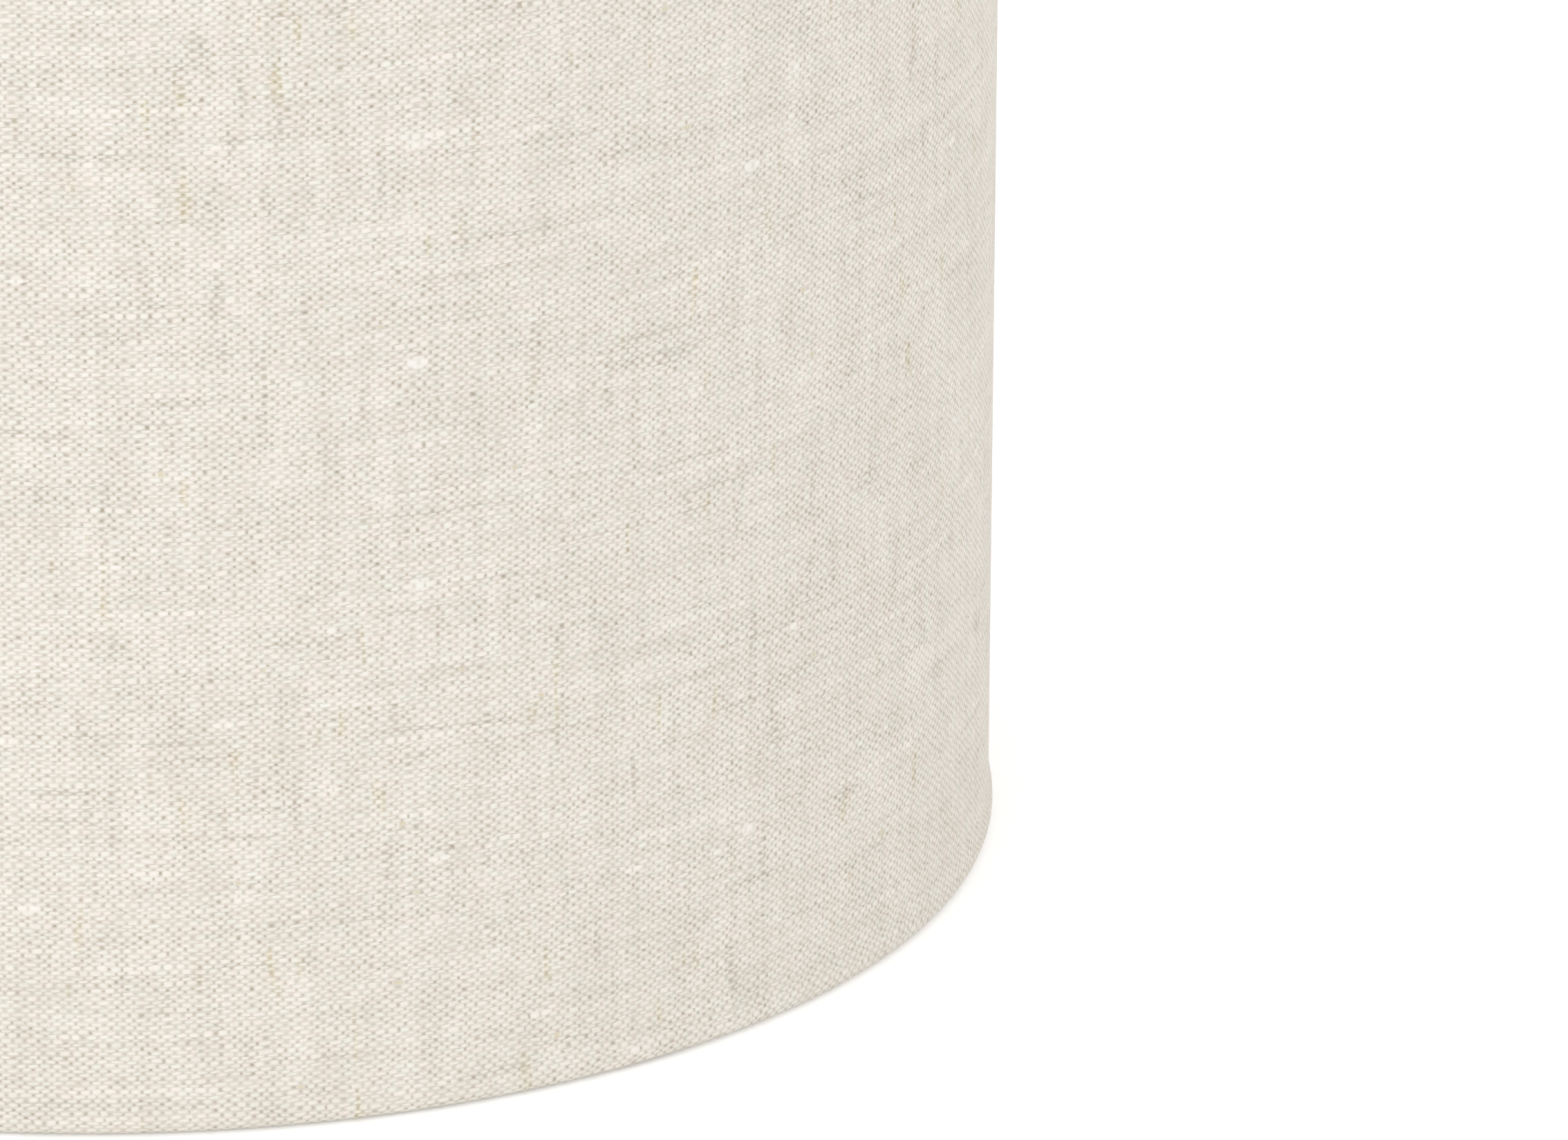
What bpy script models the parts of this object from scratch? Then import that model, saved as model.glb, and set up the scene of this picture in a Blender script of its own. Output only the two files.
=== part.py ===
"""A straight drum lamp shade: a linen cover on a rolled plastic liner, two wire rings and a three-spoke fitter.

The shade stands on its bottom rim, centred on the origin, with +Z up. Everything is in metres.
"""

import math

import bmesh
import bpy
from mathutils import Matrix, Vector

MM = 0.001

# Driving dimensions.
SHADE_RADIUS = 100 * MM
SHADE_HEIGHT = 150 * MM
CLOTH = 0.5 * MM
LINER = 0.4 * MM
TAPE = 0.2 * MM
GAP = 0.3 * MM
WIRE_RADIUS = 1.25 * MM
SPOKES = 3
FITTER_DROP = 20 * MM
FITTER_HOLE_RADIUS = 21 * MM
REDUCER_HOLE_RADIUS = 14.5 * MM

# The layers of the wall, from the outside in, as radii.
CLOTH_MIDDLE = SHADE_RADIUS - CLOTH / 2
LINER_OUTSIDE = SHADE_RADIUS - CLOTH - GAP
LINER_INSIDE = LINER_OUTSIDE - LINER
TAPE_MIDDLE = LINER_INSIDE - GAP - TAPE / 2
RING_RADIUS = TAPE_MIDDLE - TAPE / 2 - GAP - WIRE_RADIUS

# The turned hem: the cloth goes round the ring at one wire radius, a gap and half its own thickness.
HEM_TURN = WIRE_RADIUS + GAP + CLOTH / 2
RING_HEIGHT = HEM_TURN + CLOTH / 2
OUTER_TURN = 1.2 * MM
TUCK_RADIUS = LINER_INSIDE - 0.5 * MM
LINER_MARGIN = CLOTH + 2 * GAP

# The lapped seam of the cover and the taped butt seam of the liner, both at the back.
SEAM_ANGLE = math.radians(128)
LAP_WIDTH = 14 * MM
LAP_RISE = 0.6 * MM
LAP_MARGIN = 3.4 * MM
SEAM_TAPE_WIDTH = 14 * MM
SEAM_TAPE_MARGIN = 5.5 * MM

# The welds.
BUTT_WELD_ANGLE = math.radians(30)
BUTT_WELD_LENGTH = 1.8 * MM
WELD_LENGTH = 1.8 * MM
WELD_RADIUS = 1.45 * MM
SLIT_RADIUS = 1.75 * MM

# The fitter: a pressed plate with a turned-down lip, and a plastic reducer that drops into its hole.
FITTER_TOP = SHADE_HEIGHT - FITTER_DROP
FITTER_PLATE = 1.2 * MM
FITTER_RADIUS = 27.5 * MM
FITTER_LIP = 5 * MM
SPOKE_LEVEL = FITTER_TOP - 2.6 * MM
REDUCER_FLANGE_RADIUS = 24.5 * MM
REDUCER_PLATE = 1.4 * MM
REDUCER_COLLAR_OUTSIDE = FITTER_HOLE_RADIUS - 0.6 * MM
REDUCER_COLLAR_WALL = 1.2 * MM
REDUCER_COLLAR_DEPTH = 4.5 * MM

STEPS_ROUND = 60
STEPS_ROUND_FITTER = 48
WELD_SIDES = 12
WIRE_RESOLUTION = 2
MERGE = 0.00001


def clear_scene():
    for item in list(bpy.data.objects):
        bpy.data.objects.remove(item, do_unlink=True)


def new_collection(name, hidden=False):
    made = bpy.data.collections.new(name)
    bpy.context.scene.collection.children.link(made)
    made.hide_render = hidden
    return made


def new_material(name, colour, roughness, metallic=0.0):
    made = bpy.data.materials.new(name)
    made.use_nodes = True
    shader = made.node_tree.nodes["Principled BSDF"]
    shader.inputs["Base Color"].default_value = (*colour, 1)
    shader.inputs["Roughness"].default_value = roughness
    shader.inputs["Metallic"].default_value = metallic
    return made


def place(made, collection, material=None):
    """Puts an object in its collection. One with no material is a cutter or a tool for a Boolean."""
    collection.objects.link(made)
    if material is None:
        made.hide_render = True
        made.display_type = "WIRE"
    else:
        made.data.materials.append(material)
    return made


def polar(radius, angle, height=0.0):
    return Vector((radius * math.cos(angle), radius * math.sin(angle), height))


def arc(centre, radius, start, end, steps):
    """Points (radius, height) of an arc in the section plane, with the angles in degrees."""
    angles = [math.radians(start + (end - start) * i / steps) for i in range(steps + 1)]
    return [(centre[0] + radius * math.cos(a), centre[1] + radius * math.sin(a)) for a in angles]


def rounded(corners, radius, steps=4):
    """A path through corner points with each inner corner turned into an arc-like bend."""
    corners = [Vector(c) for c in corners]
    path = [corners[0]]
    for before, corner, after in zip(corners, corners[1:], corners[2:]):
        start = corner + (before - corner).normalized() * radius
        end = corner + (after - corner).normalized() * radius
        for i in range(steps + 1):
            t = i / steps
            path.append(start * (1 - t) ** 2 + corner * 2 * t * (1 - t) + end * t**2)
    return path + [corners[-1]]


def add_screw(made, steps):
    screw = made.modifiers.new("turn", "SCREW")
    screw.steps = steps
    screw.render_steps = steps
    screw.use_merge_vertices = True
    screw.merge_threshold = MERGE


def add_solidify(made, thickness):
    solidify = made.modifiers.new("thickness", "SOLIDIFY")
    solidify.thickness = thickness
    solidify.offset = 0
    solidify.use_even_offset = True


def add_boolean(made, other, operation):
    boolean = made.modifiers.new(other.name, "BOOLEAN")
    boolean.operation = operation
    boolean.solver = "EXACT"
    boolean.object = other


def section_object(name, points, closed):
    """An object whose mesh is only the edges of a section in the XZ plane."""
    mesh = bpy.data.meshes.new(name)
    bm = bmesh.new()
    vertices = [bm.verts.new((x, 0, z)) for x, z in points]
    for first, second in zip(vertices, vertices[1:]):
        bm.edges.new((first, second))
    if closed:
        bm.edges.new((vertices[-1], vertices[0]))
    bm.to_mesh(mesh)
    bm.free()
    return bpy.data.objects.new(name, mesh)


def turned_solid(name, points, collection, material):
    made = section_object(name, points, closed=True)
    add_screw(made, STEPS_ROUND_FITTER)
    return place(made, collection, material)


def wall_strip(name, radius, start, end, low, high, thickness, collection, material):
    """A thin upright strip that follows the wall from one angle to another."""
    steps = max(2, round((end - start) / math.tau * STEPS_ROUND))
    mesh = bpy.data.meshes.new(name)
    bm = bmesh.new()
    foot = [bm.verts.new(polar(radius, start + (end - start) * i / steps, low)) for i in range(steps + 1)]
    edges = [bm.edges.new(pair) for pair in zip(foot, foot[1:])]
    raised = bmesh.ops.extrude_edge_only(bm, edges=edges)["geom"]
    for vertex in (g for g in raised if isinstance(g, bmesh.types.BMVert)):
        vertex.co.z = high
    bm.to_mesh(mesh)
    bm.free()
    made = bpy.data.objects.new(name, mesh)
    add_solidify(made, thickness)
    return place(made, collection, material)


def wire(name, points, collection, material):
    curve = bpy.data.curves.new(name, "CURVE")
    curve.dimensions = "3D"
    curve.bevel_depth = WIRE_RADIUS
    curve.bevel_resolution = WIRE_RESOLUTION
    curve.use_fill_caps = True
    spline = curve.splines.new("POLY")
    spline.points.add(len(points) - 1)
    for slot, point in zip(spline.points, points):
        slot.co = (*point, 1)
    return place(bpy.data.objects.new(name, curve), collection, material)


def cylinder(name, radius, length, centre, direction, collection, material=None, bevel=0.0):
    """A cylinder along a direction, for a weld or a cutter."""
    mesh = bpy.data.meshes.new(name)
    bm = bmesh.new()
    bmesh.ops.create_cone(bm, cap_ends=True, segments=WELD_SIDES, radius1=radius, radius2=radius, depth=length)
    bm.to_mesh(mesh)
    bm.free()
    made = bpy.data.objects.new(name, mesh)
    made.rotation_euler = direction.to_track_quat("Z", "Y").to_euler()
    made.location = centre
    if bevel:
        rounding = made.modifiers.new("rounding", "BEVEL")
        rounding.width = bevel
        rounding.segments = 1
    mesh.shade_smooth()
    mesh.set_sharp_from_angle(angle=math.radians(40))
    return place(made, collection, material)


def hem_section():
    """The cloth's middle line at the bottom hem, from its tucked end round the ring to the outer wall."""
    tuck = [(TUCK_RADIUS, RING_HEIGHT + HEM_TURN)]
    round_ring = arc((RING_RADIUS, RING_HEIGHT), HEM_TURN, 90, 270, 6)
    corner = (CLOTH_MIDDLE - OUTER_TURN, CLOTH / 2 + OUTER_TURN)
    return tuck + round_ring + arc(corner, OUTER_TURN, 270, 360, 3)


def lap_wedge(collection):
    """The folded end of the cloth, which rises to its fold over the other end at the seam."""
    half = LAP_WIDTH / SHADE_RADIUS
    steps = 4
    angles = [SEAM_ANGLE - half * i / steps for i in range(steps + 1)]
    outside = [polar(SHADE_RADIUS + LAP_RISE * (1 - i / steps) - CLOTH / 4, a) for i, a in enumerate(angles)]
    inside = [polar(CLOTH_MIDDLE, a) for a in reversed(angles)]
    height = SHADE_HEIGHT - 2 * LAP_MARGIN
    curve = bpy.data.curves.new("lap_outline", "CURVE")
    curve.dimensions = "2D"
    curve.fill_mode = "BOTH"
    curve.extrude = height / 2
    spline = curve.splines.new("POLY")
    spline.use_cyclic_u = True
    spline.points.add(len(outside) + len(inside) - 1)
    for slot, point in zip(spline.points, outside + inside):
        slot.co = (point.x, point.y, 0, 1)
    outline = bpy.data.objects.new("lap_outline", curve)
    collection.objects.link(outline)
    outline.location.z = SHADE_HEIGHT / 2
    bpy.context.view_layer.update()
    graph = bpy.context.evaluated_depsgraph_get()
    mesh = bpy.data.meshes.new_from_object(outline.evaluated_get(graph))
    bm = bmesh.new()
    bm.from_mesh(mesh)
    bmesh.ops.remove_doubles(bm, verts=bm.verts, dist=MERGE)
    bmesh.ops.recalc_face_normals(bm, faces=bm.faces)
    bm.to_mesh(mesh)
    bm.free()
    made = bpy.data.objects.new("lap_wedge", mesh)
    made.matrix_world = outline.matrix_world
    bpy.data.objects.remove(outline, do_unlink=True)
    return place(made, collection)


def spoke_angles():
    return [math.radians(90) + math.tau * i / SPOKES for i in range(SPOKES)]


def build_cover(model, tools, linen):
    """One piece of cloth: the wall, and both edges turned round the rings and tucked behind them."""
    bottom = hem_section()
    top = [(radius, SHADE_HEIGHT - height) for radius, height in reversed(bottom)]
    made = section_object("linen_cover", bottom + top, closed=False)
    add_screw(made, STEPS_ROUND)
    add_solidify(made, CLOTH)
    place(made, model, linen)
    add_boolean(made, lap_wedge(tools), "UNION")
    for number, angle in enumerate(spoke_angles(), 1):
        centre = polar(RING_RADIUS - HEM_TURN, angle, SHADE_HEIGHT - RING_HEIGHT)
        slit = cylinder(f"spoke_slit_{number}", SLIT_RADIUS, 3 * MM, centre, polar(1, angle), tools)
        add_boolean(made, slit, "DIFFERENCE")


def build_liner(model, styrene, adhesive):
    """The rolled sheet, butt-jointed at the seam, with the tape that bonds the joint from inside."""
    opening = GAP / LINER_INSIDE
    middle = LINER_OUTSIDE - LINER / 2
    wall_strip("styrene_liner", middle, SEAM_ANGLE + opening, SEAM_ANGLE + math.tau - opening,
               LINER_MARGIN, SHADE_HEIGHT - LINER_MARGIN, LINER, model, styrene)
    reach = SEAM_TAPE_WIDTH / 2 / TAPE_MIDDLE
    wall_strip("seam_tape", TAPE_MIDDLE, SEAM_ANGLE - reach, SEAM_ANGLE + reach,
               SEAM_TAPE_MARGIN, SHADE_HEIGHT - SEAM_TAPE_MARGIN, TAPE, model, adhesive)


def build_ring(side, height, model, steel, adhesive):
    """A wire ring closed by a ground butt weld, with the tape that holds it to the liner."""
    opening = (BUTT_WELD_LENGTH / 2 + GAP) / RING_RADIUS
    start = BUTT_WELD_ANGLE + opening
    sweep = math.tau - 2 * opening
    points = [polar(RING_RADIUS, start + sweep * i / STEPS_ROUND, height) for i in range(STEPS_ROUND + 1)]
    wire(f"{side}_ring", points, model, steel)
    cylinder(f"{side}_ring_weld", WIRE_RADIUS, BUTT_WELD_LENGTH, polar(RING_RADIUS, BUTT_WELD_ANGLE, height),
             polar(1, BUTT_WELD_ANGLE + math.pi / 2), model, steel, bevel=0.2 * MM)
    half = WIRE_RADIUS - 0.1 * MM
    opening = GAP / TAPE_MIDDLE
    wall_strip(f"{side}_ring_tape", TAPE_MIDDLE, SEAM_ANGLE + opening, SEAM_ANGLE + math.tau - opening,
               height - half, height + half, TAPE, model, adhesive)


def build_spoke(number, angle, model, steel):
    """A wire from the top ring, stepped down to the fitter, with a weld at each end."""
    ring_level = SHADE_HEIGHT - RING_HEIGHT
    ring_side = RING_RADIUS - WIRE_RADIUS - GAP
    outer_end = ring_side - WELD_LENGTH - GAP
    inner_end = FITTER_RADIUS + 2 * GAP + WELD_LENGTH
    corners = [(outer_end, ring_level), (outer_end - 7 * MM, ring_level),
               (outer_end - 17 * MM, SPOKE_LEVEL), (inner_end, SPOKE_LEVEL)]
    path = rounded([polar(radius, angle, height) for radius, height in corners], 4.5 * MM)
    wire(f"spoke_{number}", path, model, steel)
    welds = {"ring": (ring_side - WELD_LENGTH / 2, ring_level),
             "fitter": (inner_end - GAP - WELD_LENGTH / 2, SPOKE_LEVEL)}
    for end, (radius, height) in welds.items():
        cylinder(f"spoke_{number}_{end}_weld", WELD_RADIUS, WELD_LENGTH, polar(radius, angle, height),
                 polar(1, angle), model, steel, bevel=0.45 * MM)


def build_fitter_ring(model, steel):
    """The pressed plate that the lampholder clamps, with its outer edge turned down as a lip."""
    lip_foot = FITTER_TOP - FITTER_LIP
    turn = 2 * MM
    corner = (FITTER_RADIUS - turn, FITTER_TOP - turn)
    outside = arc(corner, turn, 90, 0, 4) + [(FITTER_RADIUS, lip_foot)]
    inside = [(FITTER_RADIUS - FITTER_PLATE, lip_foot)] + arc(corner, turn - FITTER_PLATE, 0, 90, 3)
    hole = [(FITTER_HOLE_RADIUS, FITTER_TOP - FITTER_PLATE), (FITTER_HOLE_RADIUS, FITTER_TOP)]
    turned_solid("fitter_ring", outside + inside + hole, model, steel)


def build_reducer(model, plastic):
    """The loose plastic ring that narrows the fitter's hole: a flange on the plate and a collar through it."""
    foot = FITTER_TOP + GAP
    top = foot + REDUCER_PLATE
    collar_foot = foot - REDUCER_COLLAR_DEPTH
    collar_inside = REDUCER_COLLAR_OUTSIDE - REDUCER_COLLAR_WALL
    edge = 0.4 * MM
    points = [(REDUCER_HOLE_RADIUS, top), (REDUCER_FLANGE_RADIUS - edge, top),
              (REDUCER_FLANGE_RADIUS, top - edge), (REDUCER_FLANGE_RADIUS, foot),
              (REDUCER_COLLAR_OUTSIDE, foot), (REDUCER_COLLAR_OUTSIDE, collar_foot),
              (collar_inside, collar_foot), (collar_inside, foot), (REDUCER_HOLE_RADIUS, foot)]
    turned_solid("reducer_ring", points, model, plastic)


def main():
    clear_scene()
    model = new_collection("drum_lamp_shade")
    tools = new_collection("cutters", hidden=True)
    linen = new_material("natural_linen", (0.78, 0.75, 0.68), 0.92)
    styrene = new_material("white_styrene", (0.86, 0.86, 0.84), 0.42)
    adhesive = new_material("adhesive_tape", (0.82, 0.78, 0.64), 0.5)
    steel = new_material("white_coated_steel", (0.84, 0.84, 0.82), 0.38)
    plastic = new_material("white_plastic", (0.83, 0.83, 0.81), 0.45)

    build_cover(model, tools, linen)
    build_liner(model, styrene, adhesive)
    for side, height in (("bottom", RING_HEIGHT), ("top", SHADE_HEIGHT - RING_HEIGHT)):
        build_ring(side, height, model, steel, adhesive)
    for number, angle in enumerate(spoke_angles(), 1):
        build_spoke(number, angle, model, steel)
    build_fitter_ring(model, steel)
    build_reducer(model, plastic)


main()
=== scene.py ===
"""The looks of a linen drum shade: cloth, liner, wire frame and fitter, with camera, floor and light."""

import math

import bmesh
import bpy
import numpy as np
from mathutils import Matrix, Vector


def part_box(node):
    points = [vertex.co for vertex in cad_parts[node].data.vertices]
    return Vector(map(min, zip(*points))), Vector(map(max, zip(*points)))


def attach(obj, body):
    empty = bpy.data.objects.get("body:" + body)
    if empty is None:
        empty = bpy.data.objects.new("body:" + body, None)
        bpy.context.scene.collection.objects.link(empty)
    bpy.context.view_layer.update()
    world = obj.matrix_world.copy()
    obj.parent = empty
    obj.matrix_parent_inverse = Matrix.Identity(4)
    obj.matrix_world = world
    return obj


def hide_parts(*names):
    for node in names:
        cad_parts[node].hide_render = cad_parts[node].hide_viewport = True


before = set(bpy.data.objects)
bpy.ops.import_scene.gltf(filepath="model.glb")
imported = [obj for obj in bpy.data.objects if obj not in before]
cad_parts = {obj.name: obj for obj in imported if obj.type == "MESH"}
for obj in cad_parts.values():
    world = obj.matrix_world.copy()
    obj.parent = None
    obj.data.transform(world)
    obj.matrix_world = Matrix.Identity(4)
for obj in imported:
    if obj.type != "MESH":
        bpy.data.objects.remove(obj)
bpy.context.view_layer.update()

MM = 0.001

# The frame's own measures.
cover_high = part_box("linen_cover")[1]
ring_low, ring_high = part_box("bottom_ring")
spoke_low, spoke_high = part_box("spoke_1")
fitter_low, fitter_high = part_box("fitter_ring")
reducer_low, reducer_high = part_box("reducer_ring")
liner_low, liner_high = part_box("styrene_liner")
tape_low, tape_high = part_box("seam_tape")
SHADE_RADIUS = cover_high.x
SHADE_HEIGHT = cover_high.z
WIRE_RADIUS = (ring_high.z - ring_low.z) / 2
RING_HEIGHT = (ring_high.z + ring_low.z) / 2
RING_RADIUS = 96.75 * MM
SPOKE_ANGLES = [math.radians(90 + 120 * i) for i in range(3)]
SEAM_ANGLE = math.radians(128)

# The cloth and its lapped seam.
CLOTH = 0.36 * MM
WARPS_ROUND = 890
WEFT_PITCH = 0.497 * MM
WARP_PITCH = math.tau * SHADE_RADIUS / WARPS_ROUND
LAP = 14 * MM
LAP_RETURN = 6.5 * MM
LAYER = 0.4 * MM
# Between these distances from the lap, the cloth rises onto the layer below.
LAP_RISE = (-6 * MM, -0.5 * MM)
WALL_WAVE = 0.07 * MM
HEM_WAVE = 0.13 * MM

# The backing and its tape.
LINER_INSIDE = 98.8 * MM
HALF_JOINT = 0.15 * MM
TAPE_RADIUS = 98.5 * MM
TAPE_HALF_WIDTH = 7 * MM
TAPE_THICKNESS = 0.15 * MM

# The linen's lightness, in steps of a colour chart that runs from 0 to 255. The lift on the crests is a
# painted highlight, and the darkening of gaps and pinholes is painted shade.
GROUND = 219.5
CREST_HIGHLIGHT, CREST_HIGHLIGHT_VARIES = 14.5, 6.5
GAP_SHADE, OPEN_GAP_SHADE, GAP_SHADE_VARIES, RARE_GAP_SHADE = 5.5, 13.0, 6.5, 15.0
PINHOLE_SHADE = 16.0
BLOTCH, STREAK, BAND = 11.0, 12.5, 11.0
BARE = 10.0
FAT_THREAD = 244.0
SHADES_FROM, SHADES_TO = 168.0, 250.0
CLOTH_TONE = 0.818

# How far threads stray from where the count puts them, in thread spacings.
WARP_WANDER, WEFT_WANDER = 1.0, 1.15
PASS_LEAN = 0.03
PASS_SIDEWAYS, PASS_UPWARD = 0.5, 0.38

# Fat lengths of weft. A cell of so many warps and wefts holds one of them at most.
SLUBS = {"cell": (47.0, 17.0), "chance_of_one": 0.42, "longest": 19.0, "fatness": 0.9, "parting": 1.0}
NUBS = {"cell": (17.0, 12.0), "chance_of_one": 0.1, "longest": 2.2, "fatness": 1.1, "parting": 0.7}
KNOTS = {"cell": (61.0, 43.0), "chance_of_one": 0.45, "longest": 2.3, "fatness": 1.6, "parting": 0.55}
SLUB_SHARE, KNOT_SHARE = 0.65, 0.75
PLAIN_THREAD = 0.55
WARP_SHOWS = 0.55

# The camera. Its distances are in shade radii and its angles in degrees.
LENS, SENSOR = 273.6, 36
CAMERA_BACK, CAMERA_UP = 12.927, 5.0895
CAMERA_TURN, CAMERA_DOWN, CAMERA_ROLL = -3.375, 20.413, 0.246

# The light and the floor.
SKY_STRENGTH = 1.05
SUN_STRENGTH, SUN_SPREAD = 0.8, math.radians(70)
SUN_FROM = Vector((-0.55, -1.0, 0.3))
FLOOR_GLOW = 0.2
FLOOR_SIZE, FLOOR_LEVEL = 24, -0.1 * MM


def srgb(red, green, blue):
    """Linear colour from the 0 to 255 numbers of a colour chart."""
    def channel(value):
        value /= 255
        return value / 12.92 if value <= 0.04045 else ((value + 0.055) / 1.055) ** 2.4
    return tuple(channel(v) for v in (red, green, blue))


# ---- Materials ----


class Number:
    """A value in a material's nodes. Operators on it add Math nodes."""

    def __init__(self, finish, socket):
        self.finish = finish
        self.socket = socket

    def __add__(self, other):
        return self.finish.maths("ADD", self, other)

    def __sub__(self, other):
        return self.finish.maths("SUBTRACT", self, other)

    def __rsub__(self, other):
        return self.finish.maths("SUBTRACT", other, self)

    def __mul__(self, other):
        return self.finish.maths("MULTIPLY", self, other)

    def __truediv__(self, other):
        return self.finish.maths("DIVIDE", self, other)

    def __mod__(self, other):
        return self.finish.maths("FLOORED_MODULO", self, other)

    def __pow__(self, other):
        return self.finish.maths("POWER", self, other)

    def __abs__(self):
        return self.finish.maths("ABSOLUTE", self)

    def floor(self):
        return self.finish.maths("FLOOR", self)

    def sine(self):
        return self.finish.maths("SINE", self)

    def cosine(self):
        return self.finish.maths("COSINE", self)

    def at_least(self, other):
        return self.finish.maths("MAXIMUM", self, other)

    def at_most(self, other):
        return self.finish.maths("MINIMUM", self, other)

    __radd__ = __add__
    __rmul__ = __mul__


class Finish:
    """A material being made: a Principled shader and the nodes that feed it."""

    def __init__(self, name, **constants):
        self.material = bpy.data.materials.new(name)
        self.material.use_nodes = True
        self.tree = self.material.node_tree
        self.shader = self.tree.nodes["Principled BSDF"]
        for socket, value in constants.items():
            self.shader.inputs[socket.replace("_", " ")].default_value = value

    def fill(self, slot, value):
        if isinstance(value, Number):
            value = value.socket
        if isinstance(value, bpy.types.NodeSocket):
            self.tree.links.new(value, slot)
        elif slot.type == "RGBA" and len(value) == 3:
            slot.default_value = (*value, 1)
        else:
            slot.default_value = value

    def node(self, kind, settings=None, inputs=None):
        made = self.tree.nodes.new(kind)
        for setting, value in (settings or {}).items():
            setattr(made, setting, value)
        for slot, value in (inputs or {}).items():
            self.fill(made.inputs[slot], value)
        return made

    def maths(self, operation, *items):
        made = self.node("ShaderNodeMath", {"operation": operation}, dict(enumerate(items)))
        return Number(self, made.outputs[0])

    def between(self, value, low, high):
        """0 at low and beyond it, 1 at high and beyond it, with a smooth step from one to the other."""
        made = self.node("ShaderNodeMapRange", {"interpolation_type": "SMOOTHSTEP"},
                         {"Value": value, "From Min": low, "From Max": high})
        return Number(self, made.outputs["Result"])

    def vector(self, x, y, z=0.0):
        return self.node("ShaderNodeCombineXYZ", None, {0: x, 1: y, 2: z}).outputs[0]

    def noise(self, vector, scale=1.0, detail=0.0):
        """A smooth random value from about 0.2 to 0.8."""
        made = self.node("ShaderNodeTexNoise", None, {"Vector": vector, "Scale": scale, "Detail": detail})
        return Number(self, made.outputs[0])

    def chance(self, vector):
        """Three random numbers from 0 to 1, the same wherever the vector is the same."""
        made = self.node("ShaderNodeTexWhiteNoise", {"noise_dimensions": "3D"}, {"Vector": vector})
        parts = self.node("ShaderNodeSeparateColor", None, {0: made.outputs["Color"]})
        return [Number(self, out) for out in parts.outputs]

    def mix(self, share, first, second, blend="MIX"):
        made = self.node("ShaderNodeMix", {"data_type": "RGBA", "blend_type": blend},
                         {0: share, 6: first, 7: second})
        return made.outputs[2]

    def tint(self, colour, by):
        """A colour with each channel multiplied."""
        return self.mix(1.0, colour, by, "MULTIPLY")

    def ramp(self, value, stops):
        """A colour picked by value from (place, colour) stops, the first at 0 and the last at 1."""
        made = self.node("ShaderNodeValToRGB", None, {0: value})
        elements = made.color_ramp.elements
        for place, _ in stops[1:-1]:
            elements.new(place)
        for element, (_, colour) in zip(elements, stops):
            element.color = (*colour, 1)
        return made.outputs["Color"]

    def attribute(self, name):
        """The three numbers that a mesh attribute holds."""
        made = self.node("ShaderNodeAttribute", {"attribute_name": name})
        parts = self.node("ShaderNodeSeparateXYZ", None, {0: made.outputs["Vector"]})
        return [Number(self, out) for out in parts.outputs]

    def place(self):
        return self.node("ShaderNodeTexCoord").outputs["Object"]

    def bump(self, height, depth, strength=1.0):
        made = self.node("ShaderNodeBump", None, {"Height": height, "Distance": depth, "Strength": strength})
        self.fill(self.shader.inputs["Normal"], made.outputs["Normal"])

    def set(self, socket, value):
        self.fill(self.shader.inputs[socket], value)


class Sheeting(Finish):
    """The finish of a rolled or sewn sheet. It knows how many warps and wefts lie before each point."""

    def __init__(self, name, **constants):
        super().__init__(name, **constants)
        self.warp_at, self.weft_at, _ = self.attribute("threads")

    def patches(self, warp_rate, weft_rate, layer, detail=0.0):
        """Smooth random patches: the higher a rate, the shorter they are that way. Layers differ."""
        place = self.vector(self.warp_at * warp_rate, self.weft_at * weft_rate, layer)
        return self.noise(place, detail=detail)

    def along_wefts(self, row, warp_rate, row_step, layer):
        """A smooth random value that changes along each weft, unlike that of the next weft."""
        return self.noise(self.vector(self.warp_at * warp_rate, row * row_step, layer))

    def along_warps(self, column, column_step, weft_rate, layer):
        return self.noise(self.vector(column * column_step, self.weft_at * weft_rate, layer))


def power(value, count):
    """A value times itself, count times over."""
    total = value
    for _ in range(count - 1):
        total = total * value
    return total


def fat_threads(weave, warp, weft, cell, chance_of_one, longest, fatness, parting):
    """Short lengths where one weft thread is fat, at random places. Returns its height as a share.

    Longest is in warps and fatness in wefts. Parting says how far the beads stay apart: small values run
    them together.
    """
    across, along = cell
    column = (warp / across).floor()
    row = (weft / along).floor()
    first, second, third = weave.chance(weave.vector(column, row, across))
    # The fat thread keeps clear of the cells above and below.
    thread = (first * (along - 3.0)).floor() + row * along + 1.5
    middle = (column + 0.5) * across
    reach = (0.3 + third * 0.7) * longest
    off = abs(warp - middle) / reach
    swell = (1.0 - off * off).at_least(0.0)
    there = weave.maths("LESS_THAN", second, chance_of_one)
    # Beads lie two warps apart, where this weft passes over.
    bead_at = (warp + thread) % 2.0 - 1.0
    half_width = PLAIN_THREAD + swell * (fatness - PLAIN_THREAD)
    bead = 1.0 - bead_at * bead_at * parting - power((weft - thread) / half_width, 2)
    return bead.at_least(0.0) * there * (swell * 2.5).at_most(1.0)


def wandering_threads(weave):
    """The warp and weft counts, once threads wander to each side and each pass over a warp lies askew."""
    warp = weave.warp_at + (weave.patches(0.45, 0.12, 3.7) - 0.5) * WARP_WANDER
    weft = weave.weft_at + (weave.patches(0.2, 0.5, 9.1) - 0.5) * WEFT_WANDER
    lean = (warp + weft.floor() + 0.5) % 2.0
    return warp, weft + (lean * math.pi).sine() * PASS_LEAN


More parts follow.
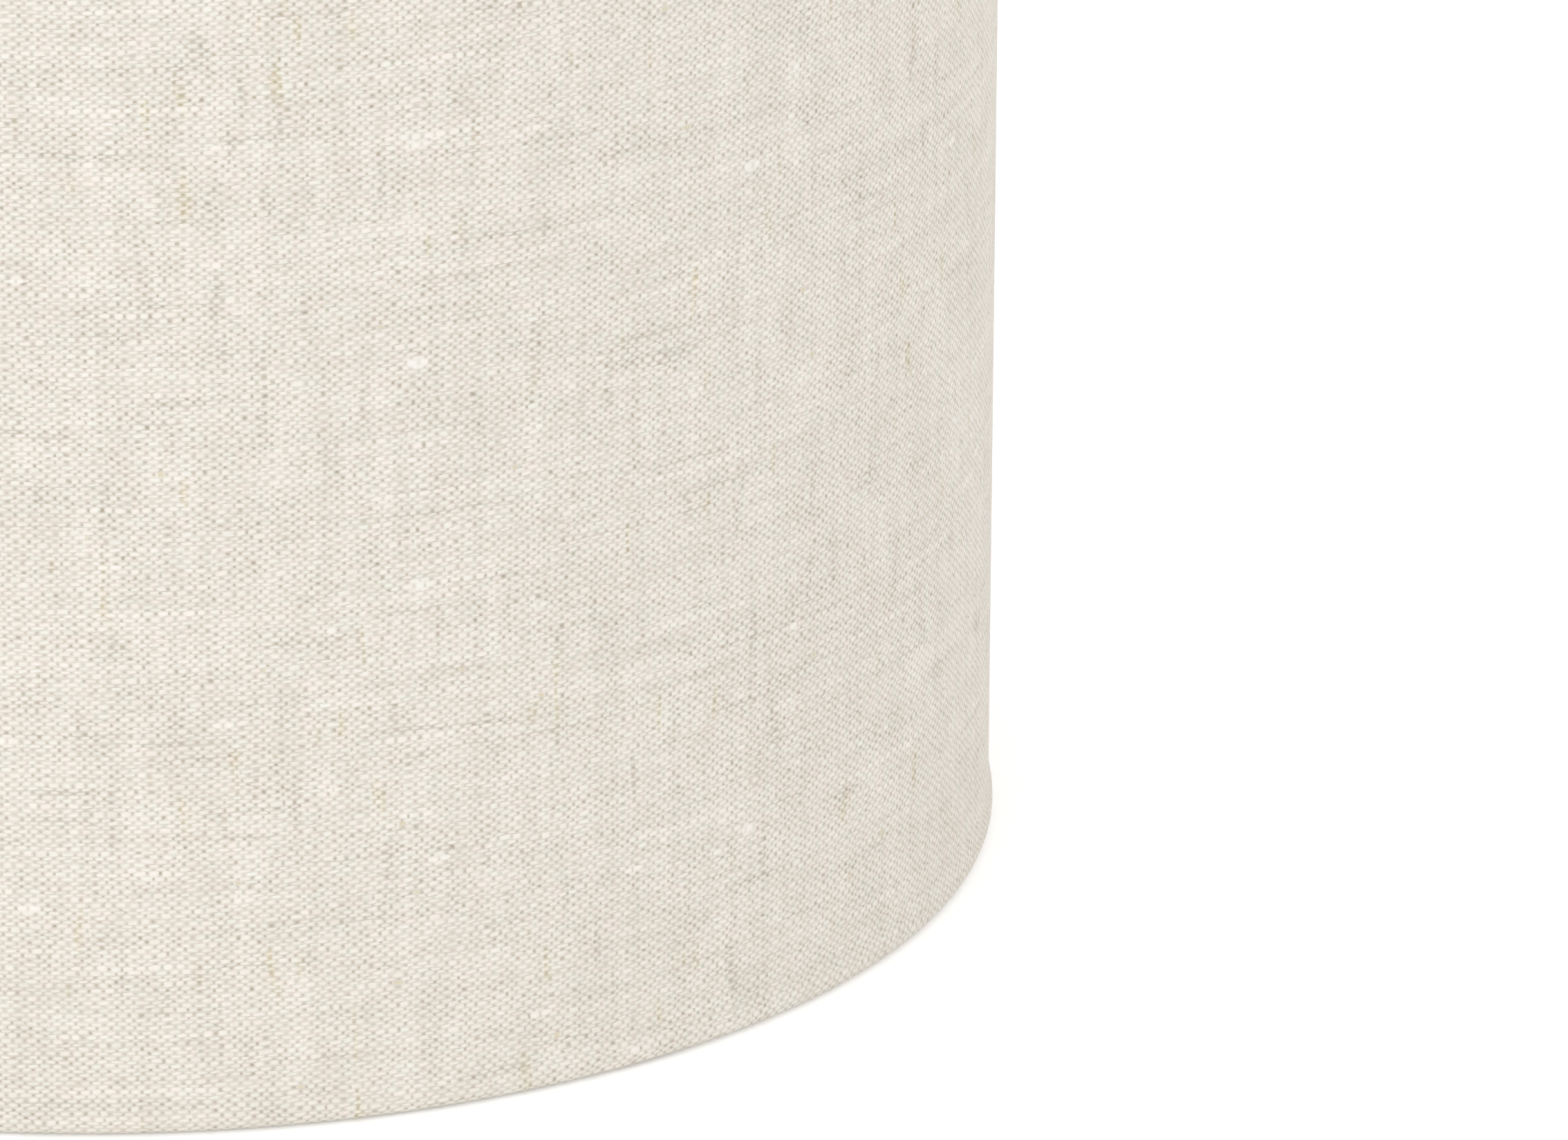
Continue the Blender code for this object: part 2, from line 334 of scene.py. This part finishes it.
def crossings(weave, warp, weft):
    """What lies on top, above 0 the weft and below 0 the warp, and how far each weft is rounded."""
    column, row = warp.floor(), weft.floor()
    # No pass sits quite where the count says: each weft shifts its own passes sideways, and up or down.
    sideways = (weave.along_wefts(row, 0.45, 7.7, 31.2) - 0.5) * PASS_SIDEWAYS
    upward = (weave.along_wefts(row, 0.5, 5.3, 35.6) - 0.5) * PASS_UPWARD
    # From the middle of the nearest place where this weft passes over, 0, to where it passes under, 1.
    across = abs((warp + sideways + row + 0.5) % 2.0 - 1.0)
    along = weft - row - 0.5 + upward
    roundness = (along * math.pi).cosine().at_least(0.0)
    # Threads swell and thin along their length.
    weft_body = weave.along_wefts(row, 0.22, 7.13, 1.3) - 0.5
    warp_body = weave.along_warps(column, 7.71, 0.12, 5.9) - 0.5
    crossing = (across ** 1.9 * math.pi).cosine() * roundness + weft_body - warp_body * WARP_SHOWS
    return crossing, roundness


def flax_colour(weave, light, crest, bare_warp, knot, chances):
    """The colour of bleached flax of a given painted lightness: warm in the painted shade of the gaps,
    nearly white in the painted highlight on the crests.
    """
    first, _, third = chances
    # From the painted shade of the deepest gaps to the painted highlight on the crests.
    shaded_to_lit_flax = [(0.0, srgb(179, 170, 152)), (0.4, srgb(205, 198, 185)), (0.65, srgb(228, 222, 211)),
              (0.84, srgb(243, 238, 228)), (1.0, srgb(253, 249, 243))]
    colour = weave.ramp((light - SHADES_FROM) / (SHADES_TO - SHADES_FROM), shaded_to_lit_flax)
    # Patches of warmer and cooler flax.
    warmth = weave.patches(0.3, 0.23, 8.8, detail=1.0) + (third - 0.5) * 0.3
    cooler = weave.tint(colour, (0.985, 1.001, 1.0))
    warmer = weave.tint(colour, (1.012, 0.984, 0.99))
    colour = weave.mix(weave.between(warmth, 0.3, 0.7), cooler, warmer)
    colour = weave.mix(weave.between(knot, 0.0, 0.8) * 0.45, colour, srgb(248, 246, 240))
    # Straw-coloured lengths of warp, and a few specks of bark.
    straw = bare_warp * weave.between(weave.patches(0.11, 0.03, 21.5), 0.54, 0.66)
    colour = weave.mix(straw * (1.0 - crest * 0.6), colour, weave.tint(colour, (1.0, 0.98, 0.87)))
    speck = weave.maths("GREATER_THAN", first, 0.9992) * crest
    colour = weave.mix(speck * 0.5, colour, srgb(200, 182, 120))
    return weave.tint(colour, (CLOTH_TONE, CLOTH_TONE, CLOTH_TONE))


def linen():
    """Bleached plain-weave linen, worked out thread by thread, with a painted highlight on each crest and
    painted shade in each gap.
    """
    weave = Sheeting("natural_linen", Roughness=0.92, Sheen_Weight=0.05, Sheen_Roughness=0.4,
                     Specular_IOR_Level=0.2)
    warp, weft = wandering_threads(weave)
    crossing, roundness = crossings(weave, warp, weft)
    chances = weave.chance(weave.vector(warp.floor(), weft.floor(), 4.0))
    first, second, _ = chances
    crest = crossing.at_least(0.0).at_most(1.0)
    # Linen is full and rounded, so a crest is wider than a plain wave.
    crest = crest * (1.7 - crest * 0.7)
    # Where the warp lies on top, the gap beside the weft gets painted shade.
    dip_shade = (0.0 - crossing).at_least(0.0) * roundness * 1.2

    # Some areas are woven closer than others, so the gaps beside a pass are shallow there and get less
    # painted shade.
    openness = weave.between(weave.patches(0.13, 0.2, 18.3, detail=1.0), 0.3, 0.72)
    # Lightness: a painted highlight on each crest, and painted shade in each gap, deeper in open areas and
    # in a few random gaps.
    light = GROUND + crest * (CREST_HIGHLIGHT + first * CREST_HIGHLIGHT_VARIES)
    light = light - dip_shade * (GAP_SHADE + openness * OPEN_GAP_SHADE + second * GAP_SHADE_VARIES + power(second, 4) * RARE_GAP_SHADE)
    # Patches where the gaps between threads are darker: painted shade in the pinholes.
    pinhole_shade = weave.between(weave.patches(0.9, 1.05, 7.4), 0.64, 0.78)
    light = light - pinhole_shade * weave.between(crossing, 0.3, -0.3) * PINHOLE_SHADE
    blotch = weave.patches(0.11, 0.07, 2.2, detail=1.5)
    streak = weave.patches(0.42, 0.014, 6.1, detail=1.0)
    band = weave.patches(0.02, 0.45, 27.4, detail=1.0)
    light = light + (blotch - 0.5) * BLOTCH + (streak - 0.5) * STREAK + (band - 0.5) * BAND

    # Thin places, where the warp shows more.
    bare_warp = weave.between(weave.patches(0.5, 0.075, 12.5), 0.67, 0.82)
    bare = bare_warp + weave.between(weave.patches(0.045, 0.6, 15.5), 0.68, 0.82)
    light = light - bare * (1.0 - crest * 0.7) * BARE

    slub = fat_threads(weave, warp, weft, **SLUBS) * SLUB_SHARE
    nub = fat_threads(weave, warp, weft, **NUBS)
    knot = fat_threads(weave, warp, weft, **KNOTS) * KNOT_SHARE
    fat = slub.at_least(nub).at_least(knot)
    light = light + weave.between(fat, 0.0, 0.9) * (0.8 + crest * 0.2) * (FAT_THREAD - light)

    weave.set("Base Color", flax_colour(weave, light, crest, bare_warp, knot, chances))
    weave.bump(crossing.at_least(fat * 1.6), 0.05 * MM)
    return weave.material


def coated_steel():
    """White epoxy on steel wire: slightly uneven, with a soft gloss."""
    coat = Finish("white_coated_steel", Coat_Weight=0.25, Coat_Roughness=0.3)
    grain = coat.noise(coat.place(), scale=900.0, detail=2.0)
    cloud = coat.noise(coat.place(), scale=60.0, detail=2.0)
    coat.set("Base Color", coat.mix(cloud, srgb(203, 202, 197), srgb(216, 216, 212)))
    coat.set("Roughness", 0.28 + cloud * 0.22)
    coat.bump(grain, 0.02 * MM, 0.6)
    return coat.material


def styrene():
    """The white backing sheet: satin, with faint rolling marks and the weave showing through."""
    sheet = Sheeting("white_styrene", Specular_IOR_Level=0.4)
    roll = sheet.patches(0.02, 0.25, 1.0, detail=2.0)
    cloud = sheet.noise(sheet.place(), scale=25.0, detail=3.0)
    ghost = sheet.patches(0.5, 0.5, 4.0, detail=1.0)
    colour = sheet.mix(cloud, srgb(236, 235, 230), srgb(244, 244, 241))
    sheet.set("Base Color", sheet.mix(ghost * 0.2, colour, srgb(226, 222, 212)))
    sheet.set("Roughness", 0.34 + roll * 0.2)
    sheet.bump(roll, 0.03 * MM, 0.5)
    return sheet.material


def adhesive():
    """Thin clear-amber tape with small trapped bubbles."""
    tape = Finish("adhesive_tape", Specular_IOR_Level=0.5)
    bubbles = tape.noise(tape.place(), scale=900.0, detail=1.0)
    cloud = tape.noise(tape.place(), scale=40.0, detail=2.0)
    colour = tape.mix(cloud, srgb(224, 220, 205), srgb(234, 231, 220))
    tape.set("Base Color", tape.mix(tape.between(bubbles, 0.6, 0.75) * 0.4, colour, srgb(242, 241, 235)))
    tape.set("Roughness", 0.25 + cloud * 0.2)
    tape.bump(bubbles, 0.02 * MM, 0.5)
    return tape.material


def moulded_plastic():
    """White moulded plastic with a fine spark-eroded grain."""
    plastic = Finish("white_moulded_plastic", Specular_IOR_Level=0.5)
    grain = plastic.noise(plastic.place(), scale=1600.0, detail=2.0)
    flow = plastic.noise(plastic.place(), scale=35.0, detail=2.0)
    plastic.set("Base Color", plastic.mix(flow, srgb(212, 211, 204), srgb(222, 222, 217)))
    plastic.set("Roughness", 0.36 + grain * 0.2)
    plastic.bump(grain, 0.015 * MM, 0.7)
    return plastic.material


def floor_paint():
    """A plain white sweep, bright enough to stay white round the shade."""
    paint = Finish("white_floor", Roughness=0.9, Specular_IOR_Level=0.1)
    cloud = paint.noise(paint.place(), scale=1.5, detail=1.0)
    paint.set("Base Color", paint.mix(cloud, (0.9, 0.9, 0.9), (0.92, 0.92, 0.92)))
    paint.set("Emission Color", (1.0, 1.0, 1.0))
    paint.set("Emission Strength", FLOOR_GLOW)
    return paint.material


# ---- Shapes ----


def add_piece(name, mesh, material, body, slot, *nodes):
    """Puts a made mesh in the scene as a piece of a body, in place of the CAD nodes that it stands for."""
    made = bpy.data.objects.new(name, mesh)
    bpy.context.scene.collection.objects.link(made)
    mesh.materials.append(material)
    mesh.shade_smooth()
    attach(made, body)
    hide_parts(*nodes)
    return made


def thicken(piece, thickness):
    """Gives an open sheet its thickness, half of it to each side."""
    solid = piece.modifiers.new("thickness", "SOLIDIFY")
    solid.thickness = thickness
    solid.offset = 0


def sheet_mesh(name, points, threads, leave_out=()):
    """A mesh from a grid of points (rows, columns, xyz), less some of its faces.

    The threads attribute holds the counts of warps round the shade and of wefts along the cut.
    """
    rows, columns = points.shape[:2]
    index = np.arange(rows * columns).reshape(rows, columns)
    quads = np.stack([index[:-1, :-1], index[:-1, 1:], index[1:, 1:], index[1:, :-1]], -1)
    kept = np.ones(quads.shape[:2], bool)
    for row_range, column_range in leave_out:
        kept[row_range[0]:row_range[1], column_range[0]:column_range[1]] = False
    mesh = bpy.data.meshes.new(name)
    mesh.from_pydata(points.reshape(-1, 3).tolist(), [], quads[kept].tolist())
    counts = mesh.attributes.new("threads", "FLOAT_VECTOR", "POINT")
    counts.data.foreach_set("vector", threads.reshape(-1).astype(np.float32))
    bm = bmesh.new()
    bm.from_mesh(mesh)
    bmesh.ops.delete(bm, geom=[v for v in bm.verts if not v.link_faces], context="VERTS")
    bm.to_mesh(mesh)
    bm.free()
    return mesh


def smooth_step(value, low, high):
    share = np.clip((np.asarray(value, float) - low) / (high - low), 0, 1)
    return share * share * (3 - 2 * share)


def arc(centre, radius, start, end, steps):
    """Points (radius, height) of an arc in the section plane, with the angles in degrees."""
    angles = np.radians(np.linspace(start, end, steps + 1))
    return [(centre[0] + radius * math.cos(a), centre[1] + radius * math.sin(a)) for a in angles]


def hem_path():
    """The cloth's middle line at the bottom: tucked end, round the ring, and the slight swell of the rim."""
    turn = RING_HEIGHT - CLOTH / 2
    swell = 0.5 * MM
    corner_radius = 1.35 * MM
    fade_height = 3.4 * MM
    tucked_end, tuck_bend = (1.55 * MM, -0.7 * MM), (1.0 * MM, -0.15 * MM)
    wall = SHADE_RADIUS - CLOTH / 2
    tuck = [(RING_RADIUS + out, RING_HEIGHT + turn + up) for out, up in (tucked_end, tuck_bend)]
    round_ring = arc((RING_RADIUS, RING_HEIGHT), turn, 85, 270, 12)
    corner = (wall + swell - corner_radius, CLOTH / 2 + corner_radius)
    outer = arc(corner, corner_radius, 270, 360, 7)
    back_to_wall = [(wall + swell * (1 - float(smooth_step(t, 0, 1))), corner[1] + t * fade_height)
                    for t in (0.2, 0.4, 0.6, 0.8, 1.0)]
    return tuck + round_ring + outer + back_to_wall


def cover_path():
    """The section from bottom tuck to top tuck: its points, outward normals and lengths of cloth so far."""
    bottom = hem_path()
    top = [(radius, SHADE_HEIGHT - height) for radius, height in reversed(bottom)]
    wall_rows = 58
    low, high = bottom[-1], top[0]
    wall = [(low[0], low[1] + (high[1] - low[1]) * i / wall_rows) for i in range(1, wall_rows)]
    path = np.array(bottom + wall + top)
    along = np.gradient(path, axis=0)
    along /= np.linalg.norm(along, axis=1)[:, None]
    normal = np.stack([along[:, 1], -along[:, 0]], 1)
    steps = np.linalg.norm(np.diff(path, axis=0), axis=1)
    length = np.concatenate([[0], np.cumsum(steps)])
    return path, normal, length


def round_cut():
    """The cut's width as columns: angle, how far each lies off the wall, and the place on the flat cloth."""
    columns = 414
    turn = math.tau + LAP / SHADE_RADIUS
    angles = np.linspace(0, turn, columns)
    past = (angles - math.tau) * SHADE_RADIUS
    return_starts = LAP - LAP_RETURN
    over_first = smooth_step(past, *LAP_RISE)
    over_return = smooth_step(past, return_starts - 3 * MM, return_starts - 0.5 * MM)
    lift = LAYER * (over_first + over_return)
    width = angles * SHADE_RADIUS
    # The edge folds under itself and runs back.
    fold = np.radians([30, 60, 90, 120, 150, 180])
    fold_angle = turn + LAYER / 2 * np.sin(fold) / SHADE_RADIUS
    fold_lift = LAYER * 1.5 + LAYER / 2 * np.cos(fold)
    fold_width = width[-1] + LAYER / 2 * fold
    back = np.linspace(0.15, 1, 6) * LAP_RETURN
    angles = np.concatenate([angles, fold_angle, turn - back / SHADE_RADIUS])
    lift = np.concatenate([lift, fold_lift, np.full(len(back), LAYER)])
    width = np.concatenate([width, fold_width, fold_width[-1] + back])
    return angles, lift, width


def waves(angle, height, seed, count, fastest):
    """A smooth random surface from about -1 to 1 that closes on itself round the shade."""
    random = np.random.default_rng(seed)
    total = np.zeros(np.broadcast(angle, height).shape)
    for _ in range(count):
        turns = random.integers(2, fastest)
        rise = random.uniform(-1, 1) * fastest * 3
        total += np.sin(turns * angle + rise * height + random.uniform(0, math.tau))
    return total / math.sqrt(count)


def spoke_snips(path, normal, angles):
    """The faces to leave out, as (rows, columns): the turned edge is cut at each spoke, down to the ring."""
    first_turn = angles[:400]
    inside_top = np.nonzero((path[:, 1] > SHADE_HEIGHT / 2) & (normal[:, 0] < -0.45))[0]
    snips = []
    for angle in SPOKE_ANGLES:
        nearest = np.argmin((first_turn - (angle - SEAM_ANGLE)) % math.tau)
        snips.append(((inside_top[0], len(path)), (nearest - 1, nearest + 1)))
    return snips


def make_cover(material):
    """The cloth: one sheet with its wall, both hems, the lapped seam and the slight waves of hand work."""
    path, normal, length = cover_path()
    angles, lift, width = round_cut()
    past = np.where(angles > math.pi, (angles - math.tau), angles) * SHADE_RADIUS
    stack = smooth_step(past, *LAP_RISE) * (1 - smooth_step(past, LAP, LAP + 0.5 * MM)) * 2 * LAYER
    under = np.clip(-normal[:, 1], 0, 1) * (path[:, 1] < SHADE_HEIGHT / 2)
    off = lift[None, :] - under[:, None] * stack[None, :]
    plan = angles + SEAM_ANGLE
    turned_in = smooth_step(-normal[:, 0], -0.2, 0.8)[:, None]
    height = path[:, 1][:, None]
    wall_waves = waves(plan[None, :], height, seed=4, count=9, fastest=9)
    hem_waves = waves(plan[None, :], height * 0, seed=7, count=14, fastest=90)
    off = off + wall_waves * WALL_WAVE * (1 - turned_in) + hem_waves * HEM_WAVE * turned_in
    radius = path[:, 0][:, None] + normal[:, 0][:, None] * off
    level = path[:, 1][:, None] + normal[:, 1][:, None] * off
    level = np.maximum(level, CLOTH / 2)
    points = np.stack([radius * np.cos(plan), radius * np.sin(plan), level], -1)
    warps, wefts = width[None, :] / WARP_PITCH, length[:, None] / WEFT_PITCH
    threads = np.stack(np.broadcast_arrays(warps, wefts, 0.0), -1)

    mesh = sheet_mesh("linen_cover_cloth", points, threads, spoke_snips(path, normal, angles))
    cover = add_piece("linen_cover_cloth", mesh, material, "shade", "linen", "linen_cover")
    thicken(cover, CLOTH)


def curved_strip(name, radius, start, end, low, high, columns, rows):
    angles = np.linspace(start, end, columns)
    levels = np.linspace(low, high, rows)
    plan, level = np.meshgrid(angles, levels)
    points = np.stack([radius * np.cos(plan), radius * np.sin(plan), level], -1)
    threads = np.stack([plan * SHADE_RADIUS / WARP_PITCH, level / WEFT_PITCH, level * 0], -1)
    return sheet_mesh(name, points, threads)


def make_liner(sheet_material, tape_material):
    """The rolled backing, butt-jointed at the seam, and the tape along the joint."""
    thickness = liner_high.x - LINER_INSIDE
    radius = liner_high.x - thickness / 2
    gap = HALF_JOINT / SHADE_RADIUS
    mesh = curved_strip("styrene_liner_sheet", radius, SEAM_ANGLE + gap, SEAM_ANGLE + math.tau - gap,
                        liner_low.z, liner_high.z, columns=361, rows=12)
    liner = add_piece("styrene_liner_sheet", mesh, sheet_material, "shade", "styrene", "styrene_liner")
    reach = TAPE_HALF_WIDTH / SHADE_RADIUS
    mesh = curved_strip("seam_tape_strip", TAPE_RADIUS, SEAM_ANGLE - reach, SEAM_ANGLE + reach,
                        tape_low.z, tape_high.z, columns=13, rows=20)
    tape = add_piece("seam_tape_strip", mesh, tape_material, "shade", "adhesive_tape", "seam_tape")
    for piece, depth in ((liner, thickness), (tape, TAPE_THICKNESS)):
        thicken(piece, depth)
        edge = piece.modifiers.new("edge", "BEVEL")
        edge.width = depth * 0.3
        edge.segments = 2
        edge.limit_method = "ANGLE"


def turned_mesh(name, outline, steps=120):
    """A solid of revolution about Z from a closed outline of (radius, height), outside first."""
    mesh = bpy.data.meshes.new(name)
    bm = bmesh.new()
    vertices = [bm.verts.new((radius, 0, height)) for radius, height in outline]
    edges = [bm.edges.new(pair) for pair in zip(vertices, vertices[1:] + vertices[:1])]
    bmesh.ops.spin(bm, geom=vertices + edges, cent=(0, 0, 0), axis=(0, 0, 1), angle=math.tau, steps=steps,
                   use_merge=True)
    bmesh.ops.remove_doubles(bm, verts=bm.verts, dist=0.001 * MM)
    bmesh.ops.recalc_face_normals(bm, faces=bm.faces)
    bm.to_mesh(mesh)
    bm.free()
    return mesh


def wire_mesh(name, path, radius, sides=20):
    """A round wire along a path, with rounded ends."""
    path = [Vector(p) for p in path]
    bm = bmesh.new()
    rings = []
    side = Vector((0, 0, 1)).cross(path[-1] - path[0]).normalized()
    # A tip stands out by a share of the radius. Its rings each have a place, 0 at the tip, and a size.
    rounding = 0.35
    ends = [(0.0, 0.35), (0.25, 0.75)]
    stations = [(path[0], path[1] - path[0], share, back) for back, share in ends]
    for number, point in enumerate(path):
        before, after = path[max(number - 1, 0)], path[min(number + 1, len(path) - 1)]
        stations.append((point, after - before, 1.0, None))
    stations += [(path[-1], path[-1] - path[-2], share, back) for back, share in reversed(ends)]
    for number, (point, direction, share, back) in enumerate(stations):
        direction = direction.normalized()
        if back is not None:
            outward = -1 if number < len(ends) else 1
            point = point + direction * outward * radius * rounding * (1 - back)
        up = direction.cross(side).normalized()
        rings.append([bm.verts.new(point + (side * math.cos(a) + up * math.sin(a)) * radius * share)
                      for a in (math.tau * i / sides for i in range(sides))])
    for first, second in zip(rings, rings[1:]):
        for i in range(sides):
            j = (i + 1) % sides
            bm.faces.new((first[i], first[j], second[j], second[i]))
    bm.faces.new(rings[0][::-1])
    bm.faces.new(rings[-1])
    bmesh.ops.recalc_face_normals(bm, faces=bm.faces)
    mesh = bpy.data.meshes.new(name)
    bm.to_mesh(mesh)
    bm.free()
    return mesh


def weld_mesh(name, centre, direction, seed):
    """A small uneven bead of weld metal, fattest in the middle."""
    length, radius = 4.4 * MM, 1.75 * MM
    random = np.random.default_rng(seed)
    bm = bmesh.new()
    bmesh.ops.create_icosphere(bm, subdivisions=4, radius=1)
    turn = Vector(direction).to_track_quat("Z", "Y")
    phases = random.uniform(0, math.tau, 4)
    for vertex in bm.verts:
        x, y, z = vertex.co
        lumps = 1 + 0.06 * math.sin(2.5 * x + phases[0]) + 0.06 * math.sin(3 * y + phases[1])
        lumps += 0.05 * math.sin(4 * z + phases[2]) + 0.02 * math.sin(7 * (x + y) + phases[3])
        shaped = Vector((x * radius * lumps, y * radius * lumps, z * length / 2))
        vertex.co = Vector(centre) + turn @ shaped
    mesh = bpy.data.meshes.new(name)
    bm.to_mesh(mesh)
    bm.free()
    return mesh


def bent(corners, radius, steps=8):
    """A path through corner points with each inner corner rounded."""
    corners = [Vector(c) for c in corners]
    path = [corners[0]]
    for before, corner, after in zip(corners, corners[1:], corners[2:]):
        start = corner + (before - corner).normalized() * radius
        end = corner + (after - corner).normalized() * radius
        path += [start * (1 - t) ** 2 + corner * 2 * t * (1 - t) + end * t**2
                 for t in (i / steps for i in range(steps + 1))]
    return path + [corners[-1]]


def make_spokes(material):
    """Each spoke runs from the top ring, steps down and meets the fitter, with a weld at each end."""
    ring_level, fitter_level = spoke_high.z - WIRE_RADIUS, spoke_low.z + WIRE_RADIUS
    outer, inner = spoke_high.y, spoke_low.y
    into_weld, weld_offset = 0.3 * MM, 1.2 * MM
    step_starts, step_ends, bend_radius = 7 * MM, 17 * MM, 4.5 * MM
    for number, angle in enumerate(SPOKE_ANGLES, 1):
        def at(radius, level, angle=angle):
            return Vector((radius * math.cos(angle), radius * math.sin(angle), level))
        corners = [at(outer + into_weld, ring_level), at(outer - step_starts, ring_level),
                   at(outer - step_ends, fitter_level), at(inner - into_weld, fitter_level)]
        mesh = wire_mesh(f"spoke_{number}_wire", bent(corners, bend_radius), WIRE_RADIUS)
        add_piece(f"spoke_{number}_wire", mesh, material, "shade", "coated_steel", f"spoke_{number}")
        ends = {"ring": (outer + weld_offset, ring_level), "fitter": (inner - weld_offset, fitter_level)}
        for turn, (end, (radius, level)) in enumerate(ends.items()):
            name = f"spoke_{number}_{end}_weld"
            mesh = weld_mesh(name + "_bead", at(radius, level), at(1, 0), seed=number * 2 + turn)
            add_piece(name + "_bead", mesh, material, "shade", "coated_steel", name)


def make_fitter(material):
    """The pressed plate with its turned-down lip and softly rolled edges."""
    outer, top, foot = fitter_high.x, fitter_high.z, fitter_low.z
    plate, turn, hole, soft = 1.2 * MM, 2.2 * MM, 21 * MM, 0.35 * MM
    outline = arc((outer - turn, top - turn), turn, 90, 0, 10)
    outline += arc((outer - soft, foot + soft), soft, 0, -90, 4)
    outline += arc((outer - plate + soft, foot + soft), soft, -90, -180, 4)
    outline += arc((outer - turn, top - turn), turn - plate, 0, 90, 8)
    outline += arc((hole + soft, top - plate + soft), soft, 270, 180, 4)
    outline += arc((hole + soft, top - soft), soft, 180, 90, 4)
    mesh = turned_mesh("fitter_ring_plate", outline)
    add_piece("fitter_ring_plate", mesh, material, "shade", "coated_steel", "fitter_ring")


def make_reducer(material):
    """The loose moulded ring: a flange with a shallow groove round its top, and a collar."""
    outer, top, foot = reducer_high.x, reducer_high.z, reducer_low.z
    hole, plate, soft = 14.5 * MM, 1.4 * MM, 0.3 * MM
    collar_outside = 20.4 * MM
    collar_inside = collar_outside - 1.2 * MM
    flange_foot = top - plate
    groove_inside, groove_outside, groove_depth = 17.2 * MM, outer - 2.0 * MM, 0.25 * MM
    outline = arc((outer - soft, top - soft), soft, 90, 0, 4)
    outline += arc((outer - soft, flange_foot + soft), soft, 0, -90, 4)
    outline += [(collar_outside, flange_foot)]
    outline += arc((collar_outside - soft, foot + soft), soft, 0, -90, 4)
    outline += arc((collar_inside + soft, foot + soft), soft, -90, -180, 4)
    outline += [(collar_inside, flange_foot)]
    outline += arc((hole + soft, flange_foot + soft), soft, 270, 180, 4)
    outline += arc((hole + soft, top - soft), soft, 180, 90, 4)
    outline += [(groove_inside, top), (groove_inside + 0.15 * MM, top - groove_depth),
                (groove_outside - 0.2 * MM, top - groove_depth), (groove_outside, top)]
    mesh = turned_mesh("reducer_ring_moulding", outline)
    add_piece("reducer_ring_moulding", mesh, material, "reducer", "reducer_plastic", "reducer_ring")


# ---- Stage ----


def make_floor(material):
    bpy.ops.mesh.primitive_grid_add(x_subdivisions=8, y_subdivisions=8, size=FLOOR_SIZE,
                                    location=(0, 0, FLOOR_LEVEL))
    floor = bpy.context.object
    floor.name = "floor"
    floor.data.materials.append(material)


def make_light():
    """An even white sky, and a wide soft light from the front left."""
    world = bpy.data.worlds.new("studio")
    bpy.context.scene.world = world
    world.use_nodes = True
    background = world.node_tree.nodes["Background"]
    background.inputs["Color"].default_value = (1.0, 1.0, 1.0, 1)
    background.inputs["Strength"].default_value = SKY_STRENGTH
    lamp = bpy.data.lights.new("front_left_light", "SUN")
    lamp.energy = SUN_STRENGTH
    lamp.angle = SUN_SPREAD
    made = bpy.data.objects.new("front_left_light", lamp)
    bpy.context.scene.collection.objects.link(made)
    made.rotation_euler = SUN_FROM.to_track_quat("Z", "Y").to_euler()


def make_camera():
    """A long lens from a little above, close on the lower right of the shade."""
    camera = bpy.data.cameras.new("camera")
    camera.lens = LENS
    camera.sensor_width = SENSOR
    camera.clip_start = 0.05
    camera.clip_end = 40
    made = bpy.data.objects.new("camera", camera)
    bpy.context.scene.collection.objects.link(made)
    place = Matrix.Translation((0, -CAMERA_BACK * SHADE_RADIUS, CAMERA_UP * SHADE_RADIUS))
    heading = Matrix.Rotation(math.radians(CAMERA_TURN), 4, "Z")
    tilt = Matrix.Rotation(math.radians(90 - CAMERA_DOWN), 4, "X")
    roll = Matrix.Rotation(math.radians(CAMERA_ROLL), 4, "Z")
    made.matrix_world = place @ heading @ tilt @ roll
    bpy.context.scene.camera = made


def main():
    make_camera()
    make_light()
    make_floor(floor_paint())
    cloth, steel, tape = linen(), coated_steel(), adhesive()
    # The rings, their welds and their tapes keep the frame's own shapes.
    for name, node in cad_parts.items():
        node.data.materials.clear()
        node.data.materials.append(tape if name.endswith("_tape") else steel)
    make_cover(cloth)
    make_liner(styrene(), tape)
    make_spokes(steel)
    make_fitter(steel)
    make_reducer(moulded_plastic())
    bpy.context.scene.view_settings.view_transform = "Standard"
    # By default the denoiser smooths its guide to the cloth's colours first, and so rubs out fine threads.
    bpy.context.scene.cycles.denoising_prefilter = "NONE"


main()
